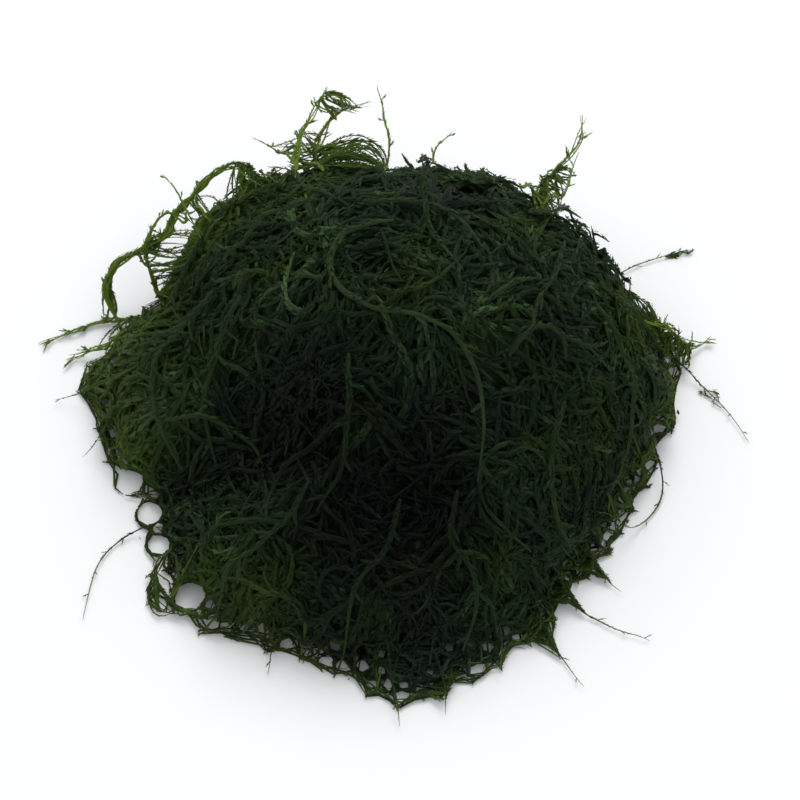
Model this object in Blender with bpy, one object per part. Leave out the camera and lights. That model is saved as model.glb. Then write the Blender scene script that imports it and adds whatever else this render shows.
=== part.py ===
"""A loose clump of leafy aquarium moss, lying on its flattened underside.

One node is the tangle itself, a low mound with a thin ragged skirt, whose shoots are too many to count.
The other nodes are single leafy stems: some drape over the tangle, some trail out of it or arch over it.
Metres, +Z up. The origin is on the underside, below the middle of the mound, and -Y is the front.
"""

import math
import random

import bmesh
import bpy
from mathutils import Vector, geometry, kdtree, noise
from mathutils.bvhtree import BVHTree

MM = 0.001
SEED = 5

# The tangle, in millimetres
MARGIN_RADII = [
    44, 52, 53, 47, 55, 57, 58, 58,
    57, 56, 54, 58, 51, 44, 45, 48,
    43, 43, 48, 45, 42, 39, 40, 41,
]  # from +X round to +Y, every 15 degrees
MARGIN_POINTS = 100
MARGIN_TOOTH = 1.6
SKIRT_THICKNESS = 2.2
SKIRT_WIDTH = 4.0
RIM_THICKNESS = 0.9
DISC_SPACING = 0.057
LOBES = [
    # centre x, centre y, half length x, half length y, height
    (3, 12, 42, 42, 36),
    (-17, 28, 25, 26, 25),
    (-34, 10, 18, 19, 15),
    (-3, -18, 34, 21, 19),
    (31, 7, 15, 18, 14),
]
LOBE_CROWN = 2.3
LOBE_FLANK = 0.82
LOBE_BLEND = 5.0
HOLLOWS = [
    # centre x, centre y, radius, depth
    (-21, -5, 9, 7),
    (3, -17, 9, 6),
    (22, -8, 7, 4),
]
LUMP_SIZE = 8.5
LUMP_HEIGHT = 2.3
TUFT_SHARE = 0.16
TUFT_LENGTH = 5.0
TUFT_FLOOR = 6.5
TUFT_ROOM = 3.6

# The single stems, in millimetres and degrees
STEM_HALF_WIDTH = 1.0
STEM_HALF_THICKNESS = 0.6
WAIST = 0.5
LEAF_SWEEP = 0.9
RING_SPACING = 3.0
PATH_STEP = 0.5
REACH_ALONG = 1.0
REACH_ASIDE = STEM_HALF_WIDTH + 0.1
CLEARANCE = 0.3
REST_GAP = 0.2
FLOOR_CLEARANCE = 0.05
LIFT = 0.15
SAG = 0.04
SHOOT_LENGTH = 5.5
SHOOT_ANGLE = 45

# Each stem: its side shoots, then the points that it runs through from root to tip.
# A point's third number is the least height there: a stem rests on what is below it,
# and 0 lets it lie.
STEMS = {
    # Out of the skirt and along the surface, from the right round to the left
    "trailing_stem_right": (3, [(38, 20, 0), (45, 19, 0), (51, 15, 0), (56, 9, 0), (60, 1, 0)]),
    "tip_stem_right": (1, [(41, 17, 0), (48, 19, 0), (55, 23, 0)]),
    "trailing_stem_back_right": (2, [(30, 31, 0), (38, 37, 0), (45, 41, 0), (54, 44, 0)]),
    "trailing_stem_left": (2, [(-45, 26, 0), (-53, 27, 0), (-59, 25, 0), (-64, 22, 0)]),
    "forked_tip_left": (0, [(-48, 22, 0), (-53, 20, 0), (-59, 19, 0)]),
    "tip_stem_left": (1, [(-47, 12, 0), (-54, 10, 0), (-60, 10, 0)]),
    "short_tip_left": (0, [(-43, 3, 0), (-49, 1, 0), (-54, -2, 0)]),
    "long_tip_front_left": (
        0,
        [(-34, -14, 0), (-41, -16, 0), (-46, -18, 0), (-50, -24, 0), (-51, -33, 0)],
    ),
    "looped_stem_front_left": (
        1,
        [(-32, -17, 0), (-38, -22, 0), (-41, -28, 0), (-38, -32, 0), (-31, -33, 0)],
    ),
    "tip_stem_front_left": (0, [(-19, -33, 0), (-20, -38, 0), (-21, -43, 0)]),
    "tip_stem_front": (1, [(-2, -41, 0), (-1, -46, 0), (0, -52, 0)]),
    "short_tip_front": (0, [(5, -40, 0), (7, -45, 0), (7, -50, 0)]),
    "tip_stem_front_right": (0, [(14, -34, 0), (16, -38, 0), (16, -43, 0)]),
    "long_tip_front_right": (1, [(19, -30, 0), (23, -35, 0), (25, -39, 0), (29, -45, 0)]),
    "trailing_stem_front_right": (
        1,
        [(22, -26, 0), (27, -30, 0), (33, -34, 0), (40, -37, 0)],
    ),
    "tip_stem_lower_right": (0, [(28, -20, 0), (32, -24, 0), (36, -28, 0)]),
    "looped_stem_right": (
        0,
        [(36, 1, 0), (40, -1, 0), (44, -6, 0), (43, -12, 0), (38, -17, 0), (32, -19, 0)],
    ),
    # Draped over the top and the sides
    "curled_stem_top": (
        4,
        [
            (-1, 18, 0), (-9, 16, 0), (-11, 10, 0), (-8, 4, 0), (0, 0, 0),
            (8, -3, 0), (12, -8, 0), (13, -14, 0), (12, -21, 0),
        ],
    ),
    "crossing_stem_top": (2, [(-6, 23, 0), (2, 22, 0), (9, 19, 0), (13, 13, 0)]),
    "forked_stem_top": (2, [(4, 27, 0), (4, 20, 0), (6, 13, 0), (10, 8, 0)]),
    "draped_stem_back_right": (2, [(27, 20, 0), (25, 12, 0), (22, 5, 0), (20, -2, 0)]),
    "draped_stem_right": (2, [(32, 10, 0), (37, 3, 0), (38, -4, 0), (36, -12, 0)]),
    "crossing_stem_right": (2, [(17, -4, 0), (22, 0, 0), (28, 1, 0), (34, -1, 0)]),
    "hanging_stem_right": (2, [(26, -8, 0), (24, -15, 0), (25, -22, 0), (29, -27, 0)]),
    "draped_stem_left": (3, [(-31, 16, 0), (-37, 11, 0), (-41, 5, 0), (-40, -3, 0), (-36, -9, 0)]),
    "curved_stem_left": (2, [(-26, 12, 0), (-30, 5, 0), (-32, -3, 0), (-30, -10, 0)]),
    "crossing_stem_left": (1, [(-38, -6, 0), (-31, -5, 0), (-25, -8, 0), (-22, -14, 0)]),
    "hanging_stem_middle": (2, [(-8, -4, 0), (-8, -12, 0), (-9, -19, 0), (-13, -25, 0)]),
    "hanging_stem_front_left": (2, [(-14, -20, 0), (-18, -26, 0), (-26, -30, 0), (-30, -36, 0)]),
    "hanging_stem_front": (2, [(0, -23, 0), (-2, -30, 0), (-7, -35, 0), (-9, -42, 0)]),
    "hanging_stem_front_right": (2, [(9, -21, 0), (8, -28, 0), (12, -34, 0), (10, -41, 0)]),
    "draped_stem_back_left": (3, [(-20, 34, 0), (-28, 33, 0), (-35, 28, 0), (-40, 20, 0)]),
    "draped_stem_upper_left": (2, [(-14, 25, 0), (-21, 24, 0), (-27, 20, 0), (-31, 24, 0)]),
    "crossing_stem_back": (2, [(21, 44, 0), (12, 49, 0), (2, 50, 0), (-8, 51, 0)]),
    "hanging_stem_back": (2, [(3, 47, 0), (5, 52, 0), (3, 58, 0)]),
    "hanging_stem_back_right": (2, [(21, 24, 0), (26, 29, 0), (29, 35, 0), (32, 40, 0)]),
    "trailing_stem_back": (2, [(-16, 47, 0), (-20, 52, 0), (-21, 58, 0), (-26, 62, 0)]),
    # Raised clear of the tangle, round its back
    "arched_stem_outer": (
        4,
        [
            (-50, 25, 0), (-52, 29, 6), (-51, 32, 9), (-48, 34, 11), (-44, 35, 12),
            (-41, 37, 13), (-40, 41, 14), (-34, 47, 16), (-28, 50, 17), (-20, 45, 0),
        ],
    ),
    "arched_stem_inner": (
        3,
        [
            (-41, 23, 0), (-43, 29, 8), (-45, 33, 8), (-44, 37, 9), (-41, 40, 9),
            (-38, 37, 11), (-36, 32, 0), (-34, 28, 0),
        ],
    ),
    "standing_stem_back_right": (
        3,
        [(20, 30, 0), (24, 37, 22), (27, 43, 23), (31, 47, 25), (32, 52, 28)],
    ),
    "standing_stem_right": (1, [(24, 29, 0), (28, 36, 19), (30, 42, 20), (31, 45, 21)]),
    "looped_stem_back": (
        2,
        [(-13, 38, 0), (-15, 46, 20), (-14, 52, 22), (-11, 56, 24), (-5, 58, 25)],
    ),
    "flap_stem_back": (1, [(-18, 38, 0), (-18, 47, 22), (-16, 54, 25), (-13, 59, 27)]),
    "standing_stem_back": (1, [(-3, 38, 0), (-2, 48, 23), (-3, 55, 25), (-4, 61, 26)]),
    "thin_stem_back_left": (0, [(-18, 40, 0), (-21, 47, 21), (-26, 51, 23)]),
    "spike_stem_back_left": (0, [(-33, 34, 0), (-38, 41, 15), (-42, 47, 18)]),
    "spike_stem_back": (0, [(6, 42, 0), (6, 47, 22), (9, 52, 23)]),
}

MOSS_GREEN = (0.018, 0.036, 0.012)
SHOOT_GREEN = (0.035, 0.066, 0.016)
ROUGHNESS = 0.6


def clear_scene():
    for obj in list(bpy.data.objects):
        bpy.data.objects.remove(obj, do_unlink=True)


def moss_material(name, colour):
    material = bpy.data.materials.new(name)
    material.use_nodes = True
    shader = material.node_tree.nodes["Principled BSDF"]
    shader.inputs["Base Color"].default_value = (*colour, 1)
    shader.inputs["Roughness"].default_value = ROUGHNESS
    shader.inputs["Metallic"].default_value = 0.0
    return material


def add_object(name, bm, material):
    mesh = bpy.data.meshes.new(name)
    bmesh.ops.recalc_face_normals(bm, faces=bm.faces)
    bm.to_mesh(mesh)
    bm.free()
    mesh.materials.append(material)
    obj = bpy.data.objects.new(name, mesh)
    bpy.context.scene.collection.objects.link(obj)


def margin_radius(angle):
    """Radius of the skirt's edge at an angle in radians, eased between the listed radii."""
    steps = angle / (2 * math.pi) * len(MARGIN_RADII)
    index = math.floor(steps)
    share = steps - index
    share = share * share * (3 - 2 * share)
    before = MARGIN_RADII[index % len(MARGIN_RADII)]
    after = MARGIN_RADII[(index + 1) % len(MARGIN_RADII)]
    return before + (after - before) * share


def lobe_height(x, y):
    """Height of the mound at a point: rounded lobes that run into each other, less the hollows."""
    total = 0.0
    for cx, cy, half_x, half_y, height in LOBES:
        out = math.hypot((x - cx) / half_x, (y - cy) / half_y)
        if out < 1:
            total += (height * (1 - out**LOBE_CROWN) ** LOBE_FLANK) ** LOBE_BLEND
    height = total ** (1 / LOBE_BLEND)
    for cx, cy, radius, depth in HOLLOWS:
        height -= depth * math.exp(-((x - cx) ** 2 + (y - cy) ** 2) / radius**2)
    return max(height, 0.0)


def mat_height(x, y):
    """Height of the tangle's top surface, with its lumps, thinning out to the rim."""
    lobes = lobe_height(x, y)
    lump = noise.noise(Vector((x, y, 0)) / LUMP_SIZE)
    lump += 0.5 * noise.noise(Vector((x, y, 20)) / (LUMP_SIZE / 2))
    lump_share = min(1.0, 0.25 + lobes / 12)
    height = SKIRT_THICKNESS + lobes + LUMP_HEIGHT * lump * lump_share
    inward = margin_radius(math.atan2(y, x)) - math.hypot(x, y)
    thinning = min(1.0, max(0.0, inward / SKIRT_WIDTH))
    return max(height * thinning, RIM_THICKNESS)


def margin_outline(rng):
    """The skirt's edge, with a pointed tooth at every second point."""
    points = []
    for i in range(MARGIN_POINTS):
        angle = 2 * math.pi * (i + rng.uniform(-0.4, 0.4)) / MARGIN_POINTS
        out = 1 if i % 2 else -1
        radius = margin_radius(angle) + out * MARGIN_TOOTH * rng.uniform(0.15, 1.0)
        points.append(Vector((radius * math.cos(angle), radius * math.sin(angle))))
    return points


def inner_points(rng):
    """Points inside the margin: a honeycomb, each a little off its place, closer on the flanks."""
    row_height = DISC_SPACING * math.sqrt(3) / 2
    rows = int(1 / row_height) + 1
    points = []
    for row in range(-rows, rows + 1):
        for column in range(-rows, rows + 1):
            x = (column + 0.5 * (row % 2) + rng.uniform(-0.3, 0.3)) * DISC_SPACING
            y = row * row_height + rng.uniform(-0.3, 0.3) * DISC_SPACING
            share = math.hypot(x, y)
            angle = math.atan2(y, x)
            spread = share * (1.25 - 0.25 * share**2)
            radius = spread * (margin_radius(angle) - MARGIN_TOOTH - 0.3)
            if share < 1 - 0.3 * DISC_SPACING:
                points.append(Vector((radius * math.cos(angle), radius * math.sin(angle))))
    return points


def draw_out(bm, face, shift, taper):
    """Extrudes a face by a shift and shrinks it, and gives back the new end face."""
    face = bmesh.ops.extrude_discrete_faces(bm, faces=[face])["faces"][0]
    middle = face.calc_center_median()
    for vert in face.verts:
        vert.co = middle + (vert.co - middle) * taper + shift
    return face


def is_free(middle, stem_places):
    """Whether a tuft may grow at a place on the tangle: not where a single stem lies."""
    distance = stem_places.find((middle.x / MM, middle.y / MM, 0))[2]
    return middle.z > TUFT_FLOOR * MM and distance > TUFT_ROOM


def grow_tufts(bm, rng, stem_places):
    """Draws some of the top's faces out into short pointed shoots that lean along the surface."""
    faces = [face for face in bm.faces if is_free(face.calc_center_median(), stem_places)]
    for face in rng.sample(faces, int(TUFT_SHARE * len(faces))):
        normal = face.normal.copy()
        turn = 6 * noise.noise(face.calc_center_median() / (16 * MM))
        along = Vector((math.cos(turn), math.sin(turn), 0))
        along -= normal * along.dot(normal)
        lean = (along.normalized() * 0.7 + normal * 0.7).normalized()
        lean *= TUFT_LENGTH * MM * rng.uniform(0.7, 1.2)
        face = draw_out(bm, face, lean * 0.4, 0.5)
        draw_out(bm, face, lean * 0.6, 0.12)


def mat_mesh(stem_places):
    """The tangle: a closed solid with a lumpy top, a ragged rim and a flat underside."""
    rng = random.Random(SEED)
    outline = margin_outline(rng)
    points = outline + inner_points(rng)
    edge = [(i, (i + 1) % len(outline)) for i in range(len(outline))]
    flat, _, triangles, *_ = geometry.delaunay_2d_cdt(points, edge, [], 1, 1e-6)
    bm = bmesh.new()
    top = []
    for i, point in enumerate(flat):
        height = RIM_THICKNESS if i < len(outline) else mat_height(*point)
        top.append(bm.verts.new(Vector((*point, height)) * MM))
    base = [bm.verts.new(Vector((*point, 0)) * MM) for point in outline]
    hub = bm.verts.new((0, 0, 0))
    for triangle in triangles:
        bm.faces.new([top[i] for i in triangle])
    for i, j in edge:
        bm.faces.new([top[i], base[i], base[j], top[j]])
        bm.faces.new([base[i], hub, base[j]])
    bmesh.ops.recalc_face_normals(bm, faces=bm.faces)
    grow_tufts(bm, rng, stem_places)
    return bm


class Pile:
    """What has been laid so far. A stem laid next rests on it, a little clear of it."""

    def __init__(self):
        self.trees = []

    def add(self, bm):
        self.trees.append(BVHTree.FromBMesh(bm))

    def touched(self, bm):
        """Middles of the faces of a new solid that meet the pile, or would if it lay a little lower."""
        drop = Vector((0, 0, -REST_GAP * MM))
        bmesh.ops.translate(bm, vec=drop, verts=bm.verts)
        new = BVHTree.FromBMesh(bm)
        bmesh.ops.translate(bm, vec=-drop, verts=bm.verts)
        bm.faces.ensure_lookup_table()
        faces = {pair[0] for tree in self.trees for pair in new.overlap(tree)}
        return [bm.faces[i].calc_center_median() / MM for i in faces]

    def top(self, x, y):
        """Height of the highest thing at a point, in millimetres, or 0 on the bare floor."""
        above = Vector((x * MM, y * MM, 1))
        hits = (tree.ray_cast(above, Vector((0, 0, -1)))[0] for tree in self.trees)
        return max((hit.z / MM for hit in hits if hit), default=0.0)

    def rest(self, x, y, reach=REACH_ASIDE):
        """Height at which a stem's middle clears the pile all round a point."""
        highest = self.top(x, y)
        for i in range(8):
            angle = math.pi * i / 4
            spot = (x + reach * math.cos(angle), y + reach * math.sin(angle))
            highest = max(highest, self.top(*spot))
        gap = CLEARANCE if highest else FLOOR_CLEARANCE
        return highest + gap + STEM_HALF_THICKNESS


def smooth_route(points):
    """A smooth curve through the points, with a point every path step."""
    points = [Vector(point) for point in points]
    ends = [2 * points[0] - points[1]] + points + [2 * points[-1] - points[-2]]
    route = []
    for before, start, end, after in zip(ends, ends[1:], ends[2:], ends[3:]):
        count = max(2, round((end - start).length / PATH_STEP))
        for i in range(count):
            t = i / count
            bend = (end - before) * t
            bend += (2 * before - 5 * start + 4 * end - after) * t**2
            bend += (3 * start - before - 3 * end + after) * t**3
            route.append(start + bend / 2)
    return route + [points[-1]]


def drape(route, pile):
    """Lifts the route until it clears the pile, taut over dips."""
    lowest = [max(point.z, pile.rest(point.x, point.y)) for point in route]
    last = len(route) - 1
    near = round(REACH_ALONG / PATH_STEP)
    lowest = [max(lowest[max(0, i - near) : i + near + 1]) for i in range(last + 1)]
    heights = list(lowest)
    for _ in range(60):
        for i in range(1, last):
            taut = (heights[i - 1] + heights[i + 1]) / 2 - SAG
            heights[i] = max(lowest[i], taut)
    return [Vector((point.x, point.y, z)) for point, z in zip(route, heights)]


def even_centres(route):
    """Points at even distances along the route, an even count of them, root and tip among them."""
    lengths = [0.0]
    for start, end in zip(route, route[1:]):
        lengths.append(lengths[-1] + (end - start).length)
    count = 2 * max(3, round(lengths[-1] / RING_SPACING / 2))
    centres = []
    for n in range(count + 1):
        target = lengths[-1] * n / count
        nearest = min(range(len(route)), key=lambda i: abs(lengths[i] - target))
        centres.append(route[nearest])
    return centres


def section_corners(centre, along, half_width, sweep):
    """The four corners of a stem's flat diamond section: left, bottom, right, top."""
    side = Vector((0, 0, 1)).cross(along).normalized()
    up = along.cross(side).normalized()
    forward = along * sweep
    thick = STEM_HALF_THICKNESS * min(1.0, 0.35 + 0.65 * half_width / STEM_HALF_WIDTH)
    return [
        centre + side * half_width + forward,
        centre - up * thick,
        centre - side * half_width + forward,
        centre + up * thick,
    ]


def grow_shoot(bm, face, along, turn, pile):
    """Draws a face on a stem's upper side out into a slender side shoot that clears the pile."""
    side = Vector((0, 0, 1)).cross(along).normalized()
    lean = along * math.cos(turn) + side * math.sin(turn) + Vector((0, 0, 0.3))
    lean = lean.normalized() * SHOOT_LENGTH
    for step, taper in ((0.15, 0.55), (0.4, 0.85), (0.45, 0.12)):
        start = face.calc_center_median() / MM
        goal = start + lean * step
        goal.z = max(goal.z, pile.rest(goal.x, goal.y, STEM_HALF_WIDTH))
        face = draw_out(bm, face, (goal - start) * MM, taper)


def stem_mesh(centres, shoots, pile):
    """A leafy stem: a tapering spindle whose edges step in and out as its leaves do."""
    last = len(centres) - 1
    bm = bmesh.new()
    rings = []
    directions = []
    for i in range(last):
        along = (centres[i + 1] - centres[max(i - 1, 0)]).normalized()
        directions.append(along)
        leafy = i % 2 == 1
        taper = min(1.0, 0.6 + 2 * i / last) * (1 - 0.6 * (i / last) ** 2)
        half_width = STEM_HALF_WIDTH * taper * (1 if leafy else WAIST)
        corners = section_corners(centres[i], along, half_width, LEAF_SWEEP if leafy else 0)
        rings.append([bm.verts.new(corner * MM) for corner in corners])
    tip = bm.verts.new(centres[-1] * MM)
    bm.faces.new(rings[0])
    for corner in range(4):
        bm.faces.new([rings[-1][corner], rings[-1][(corner + 1) % 4], tip])
    upper_faces = {}
    for i in range(last - 1):
        for corner in range(4):
            after = (corner + 1) % 4
            ring = [rings[i][corner], rings[i][after], rings[i + 1][after], rings[i + 1][corner]]
            face = bm.faces.new(ring)
            upper_faces[i, corner] = face
    bmesh.ops.recalc_face_normals(bm, faces=bm.faces)
    for n in range(shoots):
        place = max(1, round((n + 1) * last / (shoots + 1)) - 1)
        on_left = n % 2 == 0
        turn = math.radians(SHOOT_ANGLE if on_left else -SHOOT_ANGLE)
        face = upper_faces[place, 3 if on_left else 2]
        grow_shoot(bm, face, directions[place], turn, pile)
    return bm


def lift_near(centres, touched):
    """Raises the centres nearest to each touched place, and their neighbours, by one small lift."""
    lifted = set()
    for place in touched:
        nearest = min(range(len(centres)), key=lambda i: (centres[i] - place).length)
        lifted.update((nearest - 1, nearest, nearest + 1))
    rise = Vector((0, 0, LIFT))
    return [centre + rise if i in lifted else centre for i, centre in enumerate(centres)]


def build_stem(name, shoots, points, pile, material):
    """Lays a stem on the pile, and lifts it wherever it still touches something."""
    centres = even_centres(drape(smooth_route(points), pile))
    bm = stem_mesh(centres, shoots, pile)
    touched = pile.touched(bm)
    while touched:
        bm.free()
        centres = lift_near(centres, touched)
        bm = stem_mesh(centres, shoots, pile)
        touched = pile.touched(bm)
    pile.add(bm)
    add_object(name, bm, material)


def places_of_stems():
    """All the stems' routes seen from above, as a tree that finds the nearest of their points."""
    places = [place for _, points in STEMS.values() for place in smooth_route(points)]
    tree = kdtree.KDTree(len(places))
    for i, place in enumerate(places):
        tree.insert((place.x, place.y, 0), i)
    tree.balance()
    return tree


def main():
    clear_scene()
    pile = Pile()
    mat = mat_mesh(places_of_stems())
    pile.add(mat)
    add_object("moss_mat", mat, moss_material("moss", MOSS_GREEN))
    shoot_green = moss_material("shoot", SHOOT_GREEN)
    for name, (shoots, points) in STEMS.items():
        build_stem(name, shoots, points, pile, shoot_green)


main()
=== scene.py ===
"""The looks of the aquarium moss clump: leafy fronds, and a net of threads round the edge.

Every frond is a thin stem with two rows of small leaves, and every leaf is one folded four-cornered face.
Lengths are in millimetres until a mesh is made. The tangle's shape and the stems' heights are the frame's.
"""

import math

import bpy
import numpy as np
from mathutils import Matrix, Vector
from mathutils.bvhtree import BVHTree


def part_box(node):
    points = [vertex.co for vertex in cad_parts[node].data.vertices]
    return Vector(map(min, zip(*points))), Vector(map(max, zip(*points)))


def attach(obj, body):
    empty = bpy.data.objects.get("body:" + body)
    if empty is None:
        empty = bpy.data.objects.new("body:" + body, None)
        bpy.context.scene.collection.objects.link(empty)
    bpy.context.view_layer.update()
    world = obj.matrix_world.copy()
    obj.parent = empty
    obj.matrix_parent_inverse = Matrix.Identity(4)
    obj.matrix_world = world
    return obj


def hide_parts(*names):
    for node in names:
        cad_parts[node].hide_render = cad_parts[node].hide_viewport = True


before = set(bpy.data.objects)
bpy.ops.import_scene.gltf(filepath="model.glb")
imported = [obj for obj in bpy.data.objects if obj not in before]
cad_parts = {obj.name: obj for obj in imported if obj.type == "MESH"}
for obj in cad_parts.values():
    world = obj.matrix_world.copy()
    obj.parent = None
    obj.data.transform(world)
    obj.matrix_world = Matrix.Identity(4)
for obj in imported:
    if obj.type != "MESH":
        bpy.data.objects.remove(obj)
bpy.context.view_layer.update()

MM = 0.001
UP = np.array([0.0, 0.0, 1.0])
SEED = 21
rng = np.random.default_rng(SEED)

# The camera and the room
VIEW_ELEVATION = 55.0
VIEW_DISTANCE = 311.7
LOOK_AT_HEIGHT = 15.0
LENS = 85.0
FLOOR_HALF = 600.0
FLOOR_DROP = 0.02
SKY_STRENGTH = 0.8
KEY_PLACE = Vector((150.0, 900.0, 1200.0))
KEY_SIZE = 900.0
KEY_POWER = 12.0

# The tangle's surface and rim, as read from the part
TERRAIN_STEP = 0.5
TERRAIN_MARGIN = 4
ABOVE = 100.0
OUTSIDE = 90.0
RIM_HEIGHT = 0.4
RIM_SAMPLES = 720
TOOTH_REACH = 4
SKIRT_HEIGHT = 3.0
TUFT_REACH = 3
BLUR_PASSES = 5
RELIEF_PASSES = 144
SAG_SHARE = 0.72
SAG_SHAPE = 0.8
FLANK_DEPTH = 5.0
FLANK_HEIGHTS = (4.0, 7.0)

# The tangle's core and its growth, and how far in from the edge the painted glow reaches
FIELD_WAVES = 14
CORE_STEP = 2
CORE_DEPTH = 3.0
CORE_INSET = 7.0
CORE_LEAST = 1.6
CORE_BASE = 1.5
LUMP_RISE = 0.9
STRAY_SHARE = 0.25
GLOW_LEAST = 1.0
GLOW_MOST = 4.5
PALE_SHARE = 0.08
LEAST_HEIGHT = 0.03
LEAST_MIDDLE = 0.25

# Small holes in the net, tried at random places near its edge, and the larger ones: centre x, y, radius
PINHOLES = 1700
PINHOLE_HEIGHT = 5.0
PINHOLE_INWARD = (1.2, 8.0)
PINHOLE_RADII = (0.25, 0.8)
PINHOLE_SPACING = 0.45
HOLE_TOP = 10.0
HOLE_ROOM = 0.6
HOLES = [(-34.3, -28.4, 2.3), (-45.8, -6.4, 2.1), (-41.9, -12.8, 1.9), (-40.0, -18.7, 1.6)]
# Every hole slants up and to the front, towards this place
HOLE_AIM = np.array([0.0, -178.8, 270.3])

# Places of painted shade and of painted glow: centre x, centre y, reach, strength
# Painted shade: round these places the moss is darkened towards near blue-black
PAINTED_SHADE_PLACES = [
    (-5, -17, 20, 0.78),
    (-24, -8, 9, 0.5),
    (-8, -31, 12, 0.3),
    (9, -27, 10, 0.4),
    (27, -6, 10, 0.35),
]
# Painted glow: round these places the moss is brightened towards the lit-through yellow-green
PAINTED_GLOW_PLACES = [
    (-35, 36, 9, 0.5),
    (-50, 14, 9, 0.31),
    (-50, -2, 8, 0.32),
    (-35, -30, 6, 0.16),
    (-23, -37, 7, 0.27),
    (-20, 42, 8, 0.12),
    (47, 20, 8, 0.15),
]

# Colours of the moss, before each material's own brightness: oldest (also painted shade in hollows), pale,
# yellow-green and tip
MOSS_COLOURS = [
    (0.0105, 0.0195, 0.0125),
    (0.023, 0.048, 0.0185),
    (0.035, 0.064, 0.009),
    (0.072, 0.122, 0.042),
]
CORE_COLOURS = [(0.014, 0.025, 0.014, 1), (0.028, 0.048, 0.022, 1)]
# Painted glow: the moss's own yellow-green, painted much brighter as if lit through from behind
PAINTED_GLOW_COLOUR = (0.18, 0.275, 0.037)
# Painted shade: a near blue-black
SHADE_COLOUR = (0.0022, 0.0046, 0.0038)
SEE_THROUGH = 0.4

# Fronds, threads and stems
POINT_SPACING = 0.45
LEAF_LENGTH = 1.3
LEAF_WIDTH = 0.55
LEAF_ANGLE = 17.0
LEAF_SOFTNESS = 0.9
CORD_WIDTH = 0.95
THREAD_WIDTH = 0.45
DRAPED_LIFT = 0.8
STEM_SHADE = 0.8
SHOOT_ANGLE = 40.0

# The layers of fronds: name, how many, length, height over the surface, width beside a full frond, and
# share of leaves kept
LAYERS = [
    ("deep_fronds", 900, 16, (-2.6, -1.3), (1.1, 1.5), 0.5),
    ("middle_fronds", 1150, 17, (-1.5, -0.6), (1.0, 1.5), 0.42),
    ("outer_fronds", 1050, 20, (-0.7, 0.1), (0.8, 1.3), 0.42),
]
# Short, middling and long fronds: their share of a layer, and their length beside its own
LENGTH_MIX = [(0.3, 0.6), (0.4, 1.0), (0.3, 1.5)]
LAYER_WAYS = {"bend": 0.13, "wave": 0.5, "tip_rise": 0.2, "down": 0.03}
# Side shoots for each length of outer frond: how many, length, rise at the tip, and width
FORKS = [(300, 6.5, 0.6, (0.5, 0.8)), (220, 3.5, 0.5, (0.4, 0.6))]
# The net: how many threads, length, how far inside the edge they start, inset from it, width, and share
# of leaves kept
NET_THREADS = [
    (750, 16, 10.0, (0.4, 7.0), (0.7, 1.2), 0.4),
    (850, 11, 5.0, (0.0, 3.0), (0.4, 0.9), 0.3),
]
EDGE_DEPTHS = (0.1, 0.2, 0.5, 1.0, 1.6, 2.4)
POINT_THREADS = 3
UNDERSIDE_FRONDS = 650
UNDERSIDE_LENGTH = 15.3


def unit(vectors):
    return vectors / np.maximum(np.linalg.norm(vectors, axis=-1, keepdims=True), 1e-9)


def ease(value, start, end):
    """0 up to the start, 1 from the end on, and a smooth step between them."""
    share = np.clip((value - start) / (end - start), 0, 1)
    return share * share * (3 - 2 * share)


class Field:
    """A smooth random field over the ground, mostly between -1 and 1, with lumps of about one size."""

    def __init__(self, size):
        angle = rng.uniform(0, 2 * math.pi, FIELD_WAVES)
        number = math.pi / (size * rng.uniform(0.65, 1.6, FIELD_WAVES))
        self.waves = np.stack([np.cos(angle), np.sin(angle)]) * number
        self.phase = rng.uniform(0, 2 * math.pi, FIELD_WAVES)

    def at(self, xy):
        return np.sin(xy @ self.waves + self.phase).sum(axis=-1) * math.sqrt(2 / FIELD_WAVES)


def node_tree(name):
    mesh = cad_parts[name].data
    corners = [vertex.co / MM for vertex in mesh.vertices]
    return BVHTree.FromPolygons(corners, [polygon.vertices for polygon in mesh.polygons])


def below(tree, x, y, height=ABOVE):
    """The first place on a mesh straight below a point."""
    return tree.ray_cast(Vector((x, y, height)), Vector((0, 0, -1)))[0]


def spread(grid, pick, reach):
    """Takes the lowest or the highest of the neighbours within reach, for each place in a grid."""
    for axis in (0, 1):
        shifted = [np.roll(grid, shift, axis) for shift in range(-reach, reach + 1)]
        grid = pick(shifted, axis=0)
    return grid


def blurred(grid, passes=BLUR_PASSES):
    for _ in range(passes):
        for axis in (0, 1):
            grid = (np.roll(grid, 1, axis) + grid + np.roll(grid, -1, axis)) / 3
    return grid


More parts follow.
